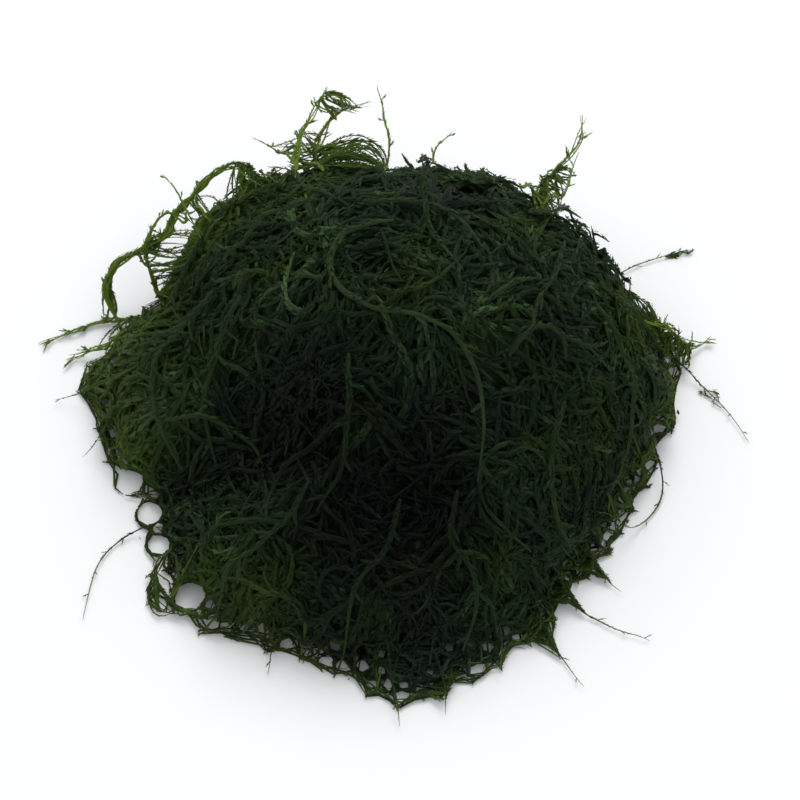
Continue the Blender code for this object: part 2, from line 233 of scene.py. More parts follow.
class Tangle:
    """The tangle's top surface without its tufts and the line of its rim, read from the CAD node.

    It also holds the holes in its net, and how the moss changes over it.
    """

    def __init__(self):
        tree = node_tree("moss_mat")
        low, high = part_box("moss_mat")
        self.corner = np.array([low.x, low.y]) / MM - TERRAIN_MARGIN
        far = np.array([high.x, high.y]) / MM + TERRAIN_MARGIN
        counts = np.ceil((far - self.corner) / TERRAIN_STEP).astype(int) + 1
        heights = np.zeros(counts)
        for i in range(counts[0]):
            for j in range(counts[1]):
                x, y = self.corner + np.array([i, j]) * TERRAIN_STEP
                hit = below(tree, x, y)
                heights[i, j] = hit.z if hit else 0
        inside = (heights > 0).astype(float)
        smooth = spread(spread(heights, np.min, TUFT_REACH), np.max, TUFT_REACH)
        smooth = blurred(np.where(inside > 0, np.maximum(smooth, np.minimum(heights, SKIRT_HEIGHT)), 0))
        self.heights = smooth / np.maximum(blurred(inside), 0.2)
        self.slopes = np.gradient(self.heights, TERRAIN_STEP)
        # The relief, which tint turns into painted shade in the hollows and painted light on the rises
        self.relief = self.heights - blurred(self.heights, RELIEF_PASSES)
        self.read_rim(tree)
        self.holes = list(HOLES)
        self.prick()
        self.patches = Field(6.5)
        self.areas = Field(13.0)
        self.specks = Field(2.6)
        self.warmth = Field(8.0)
        self.comb = Field(9.0)

    def read_rim(self, tree):
        """The rim's radius at even angles, then the net's edge: hollow arcs hung from tooth to tooth."""
        angles = np.arange(RIM_SAMPLES) * 2 * math.pi / RIM_SAMPLES
        rim = np.zeros(RIM_SAMPLES)
        for i, angle in enumerate(angles):
            way = Vector((math.cos(angle), math.sin(angle), 0))
            hit = tree.ray_cast(way * OUTSIDE + Vector((0, 0, RIM_HEIGHT)), -way)[0]
            rim[i] = math.hypot(hit.x, hit.y)
        highest = np.max([np.roll(rim, n) for n in range(-TOOTH_REACH, TOOTH_REACH + 1)], axis=0)
        self.teeth = np.flatnonzero(rim >= highest)
        self.edge = rim.copy()
        for tooth, after in zip(self.teeth, np.roll(self.teeth, -1)):
            count = (after - tooth) % RIM_SAMPLES
            steps = np.arange(count + 1)
            share = steps / count
            places = (tooth + steps) % RIM_SAMPLES
            chord = rim[places[0]] * (1 - share) + rim[places[-1]] * share
            sag = SAG_SHARE * np.max(chord - rim[places])
            self.edge[places] = chord - sag * np.sin(math.pi * share) ** SAG_SHAPE
        inner = self.edge - FLANK_DEPTH
        self.flank = self.height(np.stack([inner * np.cos(angles), inner * np.sin(angles)], axis=-1))

    def look_up(self, grid, xy):
        """A grid's value at each place, blended from the four cells round it."""
        place = np.clip((xy - self.corner) / TERRAIN_STEP, 0, np.array(grid.shape) - 1.001)
        cell = place.astype(int)
        share = place - cell
        i, j = cell[..., 0], cell[..., 1]
        u, v = share[..., 0], share[..., 1]
        near = grid[i, j] * (1 - v) + grid[i, j + 1] * v
        far = grid[i + 1, j] * (1 - v) + grid[i + 1, j + 1] * v
        return near * (1 - u) + far * u

    def height(self, xy):
        return self.look_up(self.heights, xy)

    def normal(self, xy):
        x, y = [-self.look_up(slope, xy) for slope in self.slopes]
        return unit(np.stack([x, y, np.ones_like(x)], axis=-1))

    def at_rim(self, values, xy):
        """Looks values up by the way that places lie, from one value for each sample of the rim."""
        turn = np.arctan2(xy[..., 1], xy[..., 0]) / (2 * math.pi) * RIM_SAMPLES
        return np.interp(turn, np.arange(RIM_SAMPLES), values, period=RIM_SAMPLES)

    def bulk(self, xy):
        """1 where the tangle is still thick near its edge, and 0 where it thins out to a net."""
        return ease(self.at_rim(self.flank, xy), *FLANK_HEIGHTS)

    def inward(self, xy):
        """How far a place is inside the net's edge."""
        return self.at_rim(self.edge, xy) - np.linalg.norm(xy, axis=-1)

    def keep_in(self, xy, inset):
        """Draws places that are past the edge back to it, less an inset."""
        radius = np.linalg.norm(xy, axis=-1)
        most = self.at_rim(self.edge, xy) - inset
        return xy * (np.minimum(radius, most) / np.maximum(radius, 1e-6))[..., None]

    def scatter(self, count, least, most=1e9):
        """Random places, as many to each square millimetre of slope as of level ground."""
        found = np.zeros((0, 2))
        size = np.array(self.heights.shape) * TERRAIN_STEP
        while len(found) < count:
            xy = self.corner + rng.uniform(0, 1, (count * 4, 2)) * size
            inward = self.inward(xy)
            steep = 1 / self.normal(xy)[:, 2]
            fits = (inward > least) & (inward < most) & (rng.uniform(0, 3, len(xy)) < steep)
            found = np.concatenate([found, xy[fits]])
        return found[:count]

    def prick(self):
        """Adds small holes to the net near its edge, most of them at the front left and the right."""
        places = self.scatter(PINHOLES, *PINHOLE_INWARD)
        places = places[self.height(places) < PINHOLE_HEIGHT]
        turn = np.arctan2(places[:, 1], places[:, 0])
        share = np.maximum(np.cos(turn + 2.2), np.cos(turn - 0.1)) ** 2
        for x, y in places[rng.uniform(0, 1, len(places)) < share]:
            radius = rng.uniform(*PINHOLE_RADII)
            room = radius + PINHOLE_SPACING
            if all(math.hypot(x - other[0], y - other[1]) > other[2] + room for other in self.holes):
                self.holes.append((x, y, radius))

    def tint(self, xy):
        """How pale the moss is: 0 for the darkest. Hollows get painted shade: they are made darker."""
        value = 0.5 + 0.22 * self.patches.at(xy) + 0.16 * self.areas.at(xy) + 0.1 * self.specks.at(xy)
        # Painted shade and light: darker in hollows of the surface, paler on its rises
        return value + 0.12 * np.clip(self.look_up(self.relief, xy), -3, 2)

    def warm(self, xy):
        """How yellow-green the moss is."""
        return 0.28 + 0.42 * self.warmth.at(xy)


tangle = Tangle()


def near(places, xy):
    """How strongly the listed places bear on each point."""
    return sum(
        strength * np.exp(-np.sum((xy - [x, y]) ** 2, axis=-1) / reach**2) for x, y, reach, strength in places
    )


def off_hole(points, x, y):
    """How far points are from a hole's middle line, which runs up to the front, to HOLE_AIM."""
    lean = (HOLE_AIM[:2] - [x, y]) / HOLE_AIM[2]
    return points[..., :2] - [x, y] - lean * points[..., 2:]


def open_holes(routes):
    """Bends the routes round each of the holes in the net."""
    low = np.flatnonzero((routes[..., 2] < HOLE_TOP).any(axis=1))
    bent = routes[low]
    for x, y, radius in tangle.holes:
        reach = radius + HOLE_ROOM
        off = off_hole(bent, x, y)
        distance = np.where(bent[..., 2] > HOLE_TOP, np.inf, np.hypot(off[..., 0], off[..., 1]))
        close = np.flatnonzero(distance.min(axis=1) < reach)
        if len(close) == 0:
            continue
        closest = distance[close].argmin(axis=1)
        off = off[close]
        rows = np.arange(len(close))
        along = off[rows, np.minimum(closest + 1, off.shape[1] - 1)] - off[rows, np.maximum(closest - 1, 0)]
        along = unit(along)[:, None]
        across = along[..., ::-1] * [-1, 1]
        aside = np.sum(off[rows, closest] * across[:, 0], axis=-1)
        across = across * np.where(aside < 0, -1, 1)[:, None, None]
        onward = np.sum(off * along, axis=-1)
        aside = np.sum(off * across, axis=-1)
        least = np.sqrt(np.maximum(reach**2 - onward**2, 0))
        crosses = (aside > -reach) & (aside < least) & (bent[close, :, 2] < HOLE_TOP)
        bent[close, :, :2] += across * np.where(crosses, least - aside, 0)[..., None]
    routes[low] = bent


def in_holes(corners, holes):
    """Which faces have a corner in one of the holes, or run across one of the larger ones."""
    inside = np.zeros(len(corners), bool)
    low = np.flatnonzero(corners[:, 0, 2] < HOLE_TOP)
    ends = corners[low]
    middles = (ends[:, [0, 3]] + ends[:, [1, 2]]) / 2
    points = np.concatenate([ends, middles, middles.mean(axis=1, keepdims=True)], axis=1)
    for x, y, radius in holes:
        off = off_hole(points if radius > PINHOLE_RADII[1] else ends, x, y)
        inside[low] |= (np.sum(off**2, axis=-1) < radius**2).any(axis=-1)
    return inside


class Faces:
    """Loose four-cornered faces gathered for one piece, with the tones that the moss material reads."""

    def __init__(self):
        self.corners = []
        self.normals = []
        self.tones = {"tint": [], "warm": [], "fringe": [], "shade": [], "tip": []}

    def add(self, corners, normals, **tones):
        """corners and normals have the shape (..., 4, 3), and each tone one that stretches to (..., 4)."""
        shape = corners.shape[:-1]
        self.corners.append(corners.reshape(-1, 4, 3))
        self.normals.append(np.broadcast_to(normals, corners.shape).reshape(-1, 3))
        for name, value in tones.items():
            self.tones[name].append(np.broadcast_to(value, shape).reshape(-1))

    def make(self, name, material, slot="moss", nodes=("moss_mat",), holes=tangle.holes):
        corners = np.concatenate(self.corners)
        kept = ~in_holes(corners, holes)
        count = kept.sum()
        points = corners[kept].reshape(-1, 3)
        points[:, 2] = np.maximum(points[:, 2], LEAST_HEIGHT)
        mesh = bpy.data.meshes.new(name)
        mesh.from_pydata(points * MM, [], np.arange(count * 4).reshape(-1, 4).tolist(), shade_flat=False)
        for key, parts in self.tones.items():
            layer = mesh.attributes.new(key, "FLOAT", "POINT")
            values = np.clip(np.concatenate(parts).reshape(-1, 4)[kept].ravel(), 0, 1)
            layer.data.foreach_set("value", values.astype(np.float32))
        self.lay_out(mesh, count)
        normals = unit(np.concatenate(self.normals).reshape(-1, 4, 3)[kept].reshape(-1, 3))
        mesh.normals_split_custom_set_from_vertices(normals.tolist())
        mesh.materials.append(material)
        add_piece(mesh, nodes)

    def lay_out(self, mesh, count):
        """Gives each face a square of its own on the map that colours are baked through."""
        columns = math.ceil(math.sqrt(count))
        index = np.arange(count)
        cell = np.stack([index % columns, index // columns], axis=-1)[:, None, :]
        square = np.array([[0, 0], [1, 0], [1, 1], [0, 1]]) * 0.76 + 0.12
        places = (cell + square) / columns
        mesh.uv_layers.new(name="OFBake").uv.foreach_set("vector", places.astype(np.float32).ravel())


def add_piece(mesh, nodes):
    piece = bpy.data.objects.new(mesh.name, mesh)
    bpy.context.scene.collection.objects.link(piece)
    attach(piece, "root")
    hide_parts(*nodes)


def cords(faces, route, side, up, half_width, tones, span):
    """A ridged strip along each route, as of a stem thick with leaves."""
    places = np.append(np.arange(0, route.shape[1] - 1, span), route.shape[1] - 1)
    half = half_width[..., None]
    offsets = (side - 0.4 * up, 0.4 * up, -side - 0.4 * up)
    rails = [(route + offset * half)[:, places] for offset in offsets]
    looks = [look[:, places] for look in (1.2 * side + up, up, up - 1.2 * side)]
    at_places = {name: value[:, places][:, :-1, None] for name, value in tones.items()}
    for one, other, look, after in zip(rails, rails[1:], looks, looks[1:]):
        corners = [one[:, :-1], one[:, 1:], other[:, 1:], other[:, :-1]]
        normals = [look[:, :-1], look[:, 1:], after[:, 1:], after[:, :-1]]
        faces.add(np.stack(corners, axis=2), np.stack(normals, axis=2), **at_places)


def fronds(faces, route, up, width, tones, leafiness, cord=CORD_WIDTH, span=3):
    """Leafy fronds along routes of the shape (fronds, points, 3): cords with leaves laid close along them.

    up is the way each frond looks, width its size beside a full one, leafiness the share of leaves kept, and
    span how many points each face of its cord covers. tones gives all but the tip, and how pale it is.
    """
    count, points = route.shape[:2]
    along = unit(np.gradient(route, axis=1))
    side = unit(np.cross(along, np.broadcast_to(up, route.shape)))
    up = np.cross(side, along)
    share = np.linspace(0, 1, points)[None, :]
    width = width[:, None] * np.minimum(1, 0.6 + 3 * share) * (1 - 0.75 * share**3)
    half_cord = cord / 2 * width
    tones = {name: np.broadcast_to(value, (count, points)) for name, value in tones.items()}
    pale = tones.pop("pale")
    cords(faces, route, side, up, half_cord, dict(tones, tip=pale + 0.25 * share**2), span)
    for hand in (-1, 1):
        angle = np.radians(LEAF_ANGLE) * rng.uniform(0.5, 1.4, (count, points))
        roll = hand * rng.uniform(0.1, 1.5, (count, points))[..., None]
        outward = side * np.sin(roll) + up * np.cos(roll)
        axis = along * np.cos(angle)[..., None] + outward * np.sin(angle)[..., None]
        across = np.cross(along, outward)
        length = (LEAF_LENGTH * width * rng.uniform(0.8, 1.2, (count, points)))[..., None]
        half = length * (LEAF_WIDTH / LEAF_LENGTH / 2)
        base = route + outward * half_cord[..., None] * 0.8
        middle = base + axis * length * 0.45 - outward * half * 0.35
        corners = [base, middle + across * half, base + axis * length, middle - across * half]
        corners = np.stack(corners, axis=2)
        kept = rng.uniform(0, 1, (count, points)) < leafiness
        leaf_tones = {name: value[kept][:, None] for name, value in tones.items()}
        tip = (pale + 0.4 * share**2)[..., None] + np.array([0.0, 0.05, 0.15, 0.05])
        look = (outward + LEAF_SOFTNESS * up)[kept][:, None]
        faces.add(corners[kept], look, tip=tip[kept], **leaf_tones)


def trace(starts, heading, points, lift, inset, bend, wave, tip_rise=0.0, down=0.0, level=None):
    """Routes over the tangle's surface, a step at a time, each on its own wandering curve.

    lift is the height over the surface, or over a level in its place, wave how far a route dips and rises,
    and down how strongly it turns downhill. Within its inset of the edge it runs on along the edge.
    """
    count = len(starts)
    xy = starts.copy()
    curve = rng.normal(0, bend, count)
    phase = rng.uniform(0, 2 * math.pi, count)
    rate = 2 * math.pi / rng.uniform(6, 14, count)
    routes = np.zeros((count, points, 3))
    normals = np.zeros((count, points, 3))
    for n in range(points):
        normal = tangle.normal(xy)
        way = np.stack([np.cos(heading), np.sin(heading)], axis=-1)
        steep = np.linalg.norm(normal[:, :2], axis=-1)
        turn = np.arctan2(normal[:, 1], normal[:, 0]) - heading
        heading = heading + (curve + down * steep * np.sin(turn)) * POINT_SPACING
        curve = curve * 0.96 + rng.normal(0, bend * 0.28, count)
        share = n / max(points - 1, 1)
        over = lift + wave * np.sin(phase + rate * n * POINT_SPACING) + tip_rise * share**2
        ground = tangle.height(xy) if level is None else level
        base = np.concatenate([xy, ground[:, None]], axis=-1)
        routes[:, n] = base + normal * over[:, None]
        normals[:, n] = normal
        flat = 1 / np.sqrt(1 + (np.sum(normal[:, :2] * way, axis=-1) / normal[:, 2]) ** 2)
        goal = tangle.keep_in(xy + way * (flat * POINT_SPACING)[:, None], inset)
        moved = goal - xy
        slid = np.linalg.norm(moved, axis=-1) < 0.9 * flat * POINT_SPACING
        heading = np.where(slid, np.arctan2(moved[:, 1], moved[:, 0]), heading)
        xy = goal
    open_holes(routes)
    routes[..., 2] = np.maximum(routes[..., 2], LEAST_MIDDLE)
    return routes, normals


def rolled(routes, normals, spread_angle):
    """The ways that fronds face: the surface's own, each frond turned about its length by a random angle."""
    along = unit(np.gradient(routes, axis=1))
    side = np.cross(along, normals)
    roll = rng.normal(0, spread_angle, len(routes))[:, None, None]
    return unit(normals * np.cos(roll) + side * np.sin(roll))


def body_tones(routes, contrast=0.15):
    """Tones by place, and a tint of its own for each frond. The thinnest of the edge and the listed glowing
    places get painted glow, as if lit through, and the listed dark places painted shade.
    """
    xy = routes[..., :2]
    own = rng.normal(0, contrast, len(routes))[:, None]
    own_warm = rng.normal(0, 0.15, len(routes))[:, None]
    rightward = np.maximum(0, xy[..., 0] / np.linalg.norm(xy, axis=-1)) ** 2
    inward = tangle.inward(xy)
    thin = (1 - ease(inward, 0.3, GLOW_LEAST + (GLOW_MOST - GLOW_LEAST) * rightward)) * (inward > -0.2)
    return {
        "tint": tangle.tint(xy) + own,
        "warm": tangle.warm(xy) + own_warm,
        "fringe": 0.35 * thin + near(PAINTED_GLOW_PLACES, xy),
        "shade": near(PAINTED_SHADE_PLACES, xy),
        "pale": 0.45 * (rng.uniform(0, 1, len(routes)) < PALE_SHARE)[:, None],
    }


def lay_fronds(faces, starts, heading, length, over, inset, width, leafiness, **ways):
    """Fronds over the tangle, bare of most leaves where it thins out into the net."""
    points = round(length / POINT_SPACING)
    routes, normals = trace(starts, heading, points, over, inset, **ways)
    tones = body_tones(routes)
    xy = routes[..., :2]
    leafiness = leafiness * (0.2 + 0.8 * np.maximum(ease(tangle.inward(xy), 2.0, 6.0), tangle.bulk(xy)))
    fronds(faces, routes, rolled(routes, normals, 0.4), width, tones, leafiness)
    return routes


def combed(starts):
    """Headings for fronds: loosely downhill, much as their neighbours' but for a few strays."""
    normal = tangle.normal(starts)
    stray = rng.uniform(0, 1, len(starts)) < STRAY_SHARE
    turn = 1.5 * tangle.comb.at(starts) + rng.normal(0, 1, len(starts)) * np.where(stray, 1.5, 0.4)
    return np.arctan2(normal[:, 1], normal[:, 0]) + turn


def cover(count, length, lift, width, leafiness):
    """A layer of fronds over the tangle: short, middling and long ones."""
    faces = Faces()
    laid = []
    for share, stretch in LENGTH_MIX:
        number = int(count * share)
        starts = tangle.scatter(number, 0.5)
        heading = combed(starts)
        thick = ease(tangle.height(starts), 2, 8)
        over = (rng.uniform(*lift, number) + LUMP_RISE * tangle.patches.at(starts)) * thick
        bulky = rng.uniform(0, 1, number) < tangle.bulk(starts)
        inset = np.where(bulky, rng.uniform(1.4, 4.5, number), rng.uniform(2.5, 9.0, number))
        size = rng.uniform(*width, number) * (0.6 + 0.4 * thick)
        reach = length * stretch
        routes = lay_fronds(faces, starts, heading, reach, over, inset, size, leafiness, **LAYER_WAYS)
        laid.append(routes)
    return faces, laid


def fork(faces, routes, count, length, rise, width):
    """Short pointed side shoots that leave fronds already laid, at a slant and a little upwards."""
    parent = rng.integers(0, len(routes), count)
    place = rng.integers(2, routes.shape[1] - 3, count)
    starts = routes[parent, place]
    along = routes[parent, place + 2] - starts
    turn = rng.choice([-1, 1], count) * rng.uniform(0.45, 0.95, count)
    heading = np.arctan2(along[:, 1], along[:, 0]) + turn
    xy = tangle.keep_in(starts[:, :2], 1.0)
    over = (starts[:, 2] - tangle.height(xy)) * tangle.normal(xy)[:, 2]
    size = rng.uniform(*width, count)
    inset = rng.uniform(1, 5, count)
    lay_fronds(faces, xy, heading, length, over, inset, size, 0.8, bend=0.12, wave=0.1, tip_rise=rise)


def skirt_net():
    """Threads that cross in the thin skirt, run out to its teeth and hang from tooth to tooth."""
    faces = Faces()
    for number, length, most, inset, width, leafiness in NET_THREADS:
        starts = tangle.scatter(number, 0.3, most)
        outward = np.arctan2(starts[:, 1], starts[:, 0])
        heading = outward + rng.choice([-1, 1], number) * rng.uniform(0.1, 2.6, number)
        lift = -rng.uniform(0.0, 0.55, number) * np.minimum(tangle.height(starts), 4)
        points = round(length / POINT_SPACING)
        insets = rng.uniform(*inset, number)
        routes, normals = trace(starts, heading, points, lift, insets, 0.2, wave=0.25)
        tones = body_tones(routes, 0.25)
        size = rng.uniform(*width, number)
        up = rolled(routes, normals, 0.6)
        fronds(faces, routes, up, size, tones, leafiness, THREAD_WIDTH)
    for tooth, after in zip(tangle.teeth, np.roll(tangle.teeth, -1)):
        hang_threads(faces, tooth, (after - tooth) % RIM_SAMPLES)
        point_threads(faces, tooth)
    return faces


def edge_route(samples, inset, height):
    angle = samples * 2 * math.pi / RIM_SAMPLES
    radius = np.interp(samples, np.arange(RIM_SAMPLES), tangle.edge, period=RIM_SAMPLES) - inset
    return np.stack([radius * np.cos(angle), radius * np.sin(angle), height], axis=-1)


def hang_threads(faces, tooth, gap):
    """Thin threads along the hollow arc from one tooth to the next."""
    for depth in EDGE_DEPTHS:
        ends = rng.uniform(-0.3, 0.1, 2) * gap
        samples = np.linspace(tooth + ends[0], tooth + gap - ends[1], max(6, gap // 2))
        height = rng.uniform(0.3, 1.0) + 0.2 * np.sin(samples * 0.35 + rng.uniform(0, 6))
        inset = depth * rng.uniform(0.7, 1.3) + 0.3 * depth * np.sin(samples * 0.2 + rng.uniform(0, 6))
        route = edge_route(samples, inset, height)
        tint = rng.uniform(0.1, 0.6)
        lit = rng.uniform(0.0, 0.25)
        add_thread(faces, route, tint, lit, rng.uniform(0.6, 1.1), 0.25)


def point_threads(faces, tooth):
    """Threads that come together in a tooth's point."""
    for _ in range(POINT_THREADS):
        share = np.linspace(0, 1, 16)
        samples = tooth + rng.uniform(-12, 12) * (1 - share) ** 1.5
        depth = rng.uniform(2.5, 6)
        height = 0.4 + 0.9 * rng.uniform() * (1 - share)
        route = edge_route(samples, depth * (1 - share) ** 1.2 - 0.2 * share, height)
        add_thread(faces, route, rng.uniform(0.2, 0.6), 0.05 + 0.2 * share, 0.7, 0.3)


def add_thread(faces, route, tint, lit, width, leafiness):
    open_holes(route[None])
    # lit is how much painted glow the thread gets; it gets no painted shade
    tones = {"tint": tint, "warm": 0.7, "fringe": lit, "shade": 0.0, "pale": 0.0}
    fronds(faces, route[None], UP, np.array([width]), tones, leafiness, THREAD_WIDTH, 2)


def slack_thread(faces, start, end, bow, tint, lit, width, leafiness):
    """A thin thread between two points, bowed out in its middle."""
    t = np.linspace(0, 1, max(6, round(np.linalg.norm(end - start) / POINT_SPACING)))[:, None]
    route = start + (end - start) * t + bow * 4 * t * (1 - t)
    add_thread(faces, route, tint, rng.uniform(*lit), rng.uniform(*width), leafiness)


def underside():
    """Fronds pressed flat under the tangle, where it lies on the ground."""
    faces = Faces()
    number = UNDERSIDE_FRONDS
    points = round(UNDERSIDE_LENGTH / POINT_SPACING)
    starts = tangle.scatter(number, 4.0)
    heading = rng.uniform(0, 2 * math.pi, number)
    inset = rng.uniform(3, 8, number)
    level = rng.uniform(0.3, 1.3, number)
    routes, _ = trace(starts, heading, points, 0.0, inset, 0.12, wave=0.0, level=level)
    routes[..., 2] += 0.25 * np.sin(np.arange(points) * 0.3 + level[:, None] * 9)
    tones = body_tones(routes)
    fronds(faces, routes, -UP, rng.uniform(0.9, 1.2, number), tones, 0.6)
    return faces


def make_core():
    """The dark inside of the tangle, a few millimetres under its surface: what shows between the fronds."""
    heights = tangle.heights[::CORE_STEP, ::CORE_STEP]
    xy = tangle.corner + np.moveaxis(np.indices(heights.shape), 0, -1) * TERRAIN_STEP * CORE_STEP
    rough = Field(1.6).at(xy) * 0.6 + Field(4.0).at(xy) * 0.6
    top = heights - CORE_DEPTH + rough
    solid = (top > CORE_LEAST) & (tangle.inward(xy) > CORE_INSET)
    cells = solid[:-1, :-1] & solid[1:, :-1] & solid[:-1, 1:] & solid[1:, 1:]
    index = np.arange(heights.size).reshape(heights.shape)
    upper = [index[:-1, :-1], index[1:, :-1], index[1:, 1:], index[:-1, 1:]]
    top_faces = np.stack(upper, axis=-1)[cells]
    base_faces = top_faces[:, ::-1] + heights.size
    ring = np.stack([top_faces, np.roll(top_faces, -1, axis=1)], axis=-1).reshape(-1, 2)
    sides = set(map(tuple, ring.tolist()))
    walls = [(b, a, a + heights.size, b + heights.size) for a, b in sides if (b, a) not in sides]
    top_points = np.concatenate([xy, top[..., None]], axis=-1).reshape(-1, 3)
    base_points = top_points * [1, 1, 0] + [0, 0, CORE_BASE]
    faces = np.array(top_faces.tolist() + base_faces.tolist() + sorted(walls))
    used, faces = np.unique(faces, return_inverse=True)
    points = np.concatenate([top_points, base_points])[used] * MM
    mesh = bpy.data.meshes.new("tangle_core")
    mesh.from_pydata(points, [], faces.reshape(-1, 4).tolist(), shade_flat=False)
    mesh.materials.append(core_material())
    add_piece(mesh, ["moss_mat"])


class Nodes:
    """Short ways to add shader nodes to a material."""

    def __init__(self, material):
        material.use_nodes = True
        self.tree = material.node_tree
        self.tree.nodes.clear()

    def add(self, kind, **values):
        made = self.tree.nodes.new(kind)
        for key, value in values.items():
            setattr(made, key, value)
        return made

    def set(self, socket, value):
        if isinstance(value, bpy.types.NodeSocket):
            self.tree.links.new(value, socket)
        else:
            socket.default_value = value

    def attribute(self, name):
        return self.add("ShaderNodeAttribute", attribute_name=name).outputs["Fac"]

    def mixed(self, factor, first, second):
        mix = self.add("ShaderNodeMix", data_type="RGBA")
        self.set(mix.inputs["Factor"], factor)
        self.set(mix.inputs["A"], first)
        self.set(mix.inputs["B"], second)
        return mix.outputs["Result"]

    def scaled(self, value, factor):
        maths = self.add("ShaderNodeMath", operation="MULTIPLY")
        self.set(maths.inputs[0], value)
        self.set(maths.inputs[1], factor)
        return maths.outputs[0]

    def noise(self, size_mm, least, most):
        """Noise with lumps of about one size, 0 below the least value and 1 above the most."""
        noise = self.add("ShaderNodeTexNoise")
        self.set(noise.inputs["Vector"], self.add("ShaderNodeTexCoord").outputs["Object"])
        noise.inputs["Scale"].default_value = 1 / (size_mm * MM)
        ranged = self.add("ShaderNodeMapRange")
        self.set(ranged.inputs["Value"], noise.outputs["Fac"])
        ranged.inputs["From Min"].default_value = least
        ranged.inputs["From Max"].default_value = most
        return ranged.outputs["Result"]

    def surface(self, colour, roughness, specular):
        shader = self.add("ShaderNodeBsdfPrincipled")
        self.set(shader.inputs["Base Color"], colour)
        shader.inputs["Roughness"].default_value = roughness
        shader.inputs["Specular IOR Level"].default_value = specular
        return shader.outputs[0]

    def finish(self, shader):
        self.set(self.add("ShaderNodeOutputMaterial").inputs["Surface"], shader)


def moss_material(name, brightness):
    """Wet leaves: blue-black to grey-green, yellow-green in places, and paler at their tips. Painted glow
    brightens them towards a lit-through yellow-green, and painted shade darkens them.
    """
    material = bpy.data.materials.new(name)
    nodes = Nodes(material)
    dark, pale, warm, tip = [(*[c * brightness for c in colour], 1) for colour in MOSS_COLOURS]
    lit = nodes.mixed(nodes.attribute("warm"), pale, warm)
    green = nodes.mixed(nodes.attribute("tint"), dark, lit)
    green = nodes.mixed(nodes.scaled(nodes.attribute("tip"), 0.7), green, tip)
    green = nodes.mixed(nodes.scaled(nodes.noise(3.0, 0.4, 0.7), 0.25), green, dark)
    # Painted glow: brightened towards a lit-through yellow-green
    green = nodes.mixed(nodes.attribute("fringe"), green, (*PAINTED_GLOW_COLOUR, 1))
    # Painted shade: darkened towards near blue-black
    green = nodes.mixed(nodes.attribute("shade"), green, (*SHADE_COLOUR, 1))
    glow = nodes.add("ShaderNodeBsdfTranslucent")
    nodes.set(glow.inputs["Color"], green)
    blend = nodes.add("ShaderNodeMixShader")
    blend.inputs[0].default_value = SEE_THROUGH
    nodes.set(blend.inputs[1], nodes.surface(green, 0.5, 0.09))
    nodes.set(blend.inputs[2], glow.outputs[0])
    nodes.finish(blend.outputs[0])
    return material


def core_material():
    material = bpy.data.materials.new("tangle_inside")
    nodes = Nodes(material)
    colour = nodes.mixed(nodes.noise(1.5, 0.35, 0.65), *CORE_COLOURS)
    nodes.finish(nodes.surface(colour, 0.9, 0.05))
    return material


def make_camera():
    camera = bpy.data.objects.new("camera", bpy.data.cameras.new("camera"))
    bpy.context.scene.collection.objects.link(camera)
    camera.data.lens = LENS
    camera.data.clip_end = 10
    elevation = math.radians(VIEW_ELEVATION)
    back = Vector((0, -math.cos(elevation), math.sin(elevation)))
    camera.location = (Vector((0, 0, LOOK_AT_HEIGHT)) + back * VIEW_DISTANCE) * MM
    camera.rotation_euler = (math.pi / 2 - elevation, 0, 0)
    bpy.context.scene.camera = camera


def make_floor():
    mesh = bpy.data.meshes.new("floor")
    corners = [(x * FLOOR_HALF, y * FLOOR_HALF, -FLOOR_DROP) for x, y in ((-1, -1), (1, -1), (1, 1), (-1, 1))]
    mesh.from_pydata(np.array(corners) * MM, [], [(0, 1, 2, 3)])
    material = bpy.data.materials.new("pale_floor")
    nodes = Nodes(material)
    nodes.finish(nodes.surface((0.9, 0.9, 0.9, 1), 0.9, 0.5))
    mesh.materials.append(material)
    floor = bpy.data.objects.new("floor", mesh)
    bpy.context.scene.collection.objects.link(floor)


def light_room():
    world = bpy.data.worlds.new("studio")
    bpy.context.scene.world = world
    world.use_nodes = True
    sky = world.node_tree.nodes["Background"]
    sky.inputs["Color"].default_value = (0.95, 0.98, 1.0, 1)
    sky.inputs["Strength"].default_value = SKY_STRENGTH
    light = bpy.data.lights.new("key_behind", "AREA")
    light.size = KEY_SIZE * MM
    light.energy = KEY_POWER
    lamp = bpy.data.objects.new("key_behind", light)
    lamp.location = KEY_PLACE * MM
    lamp.rotation_euler = (-KEY_PLACE).to_track_quat("-Z", "Y").to_euler()
    bpy.context.scene.collection.objects.link(lamp)
    bpy.context.scene.view_settings.view_transform = "Standard"


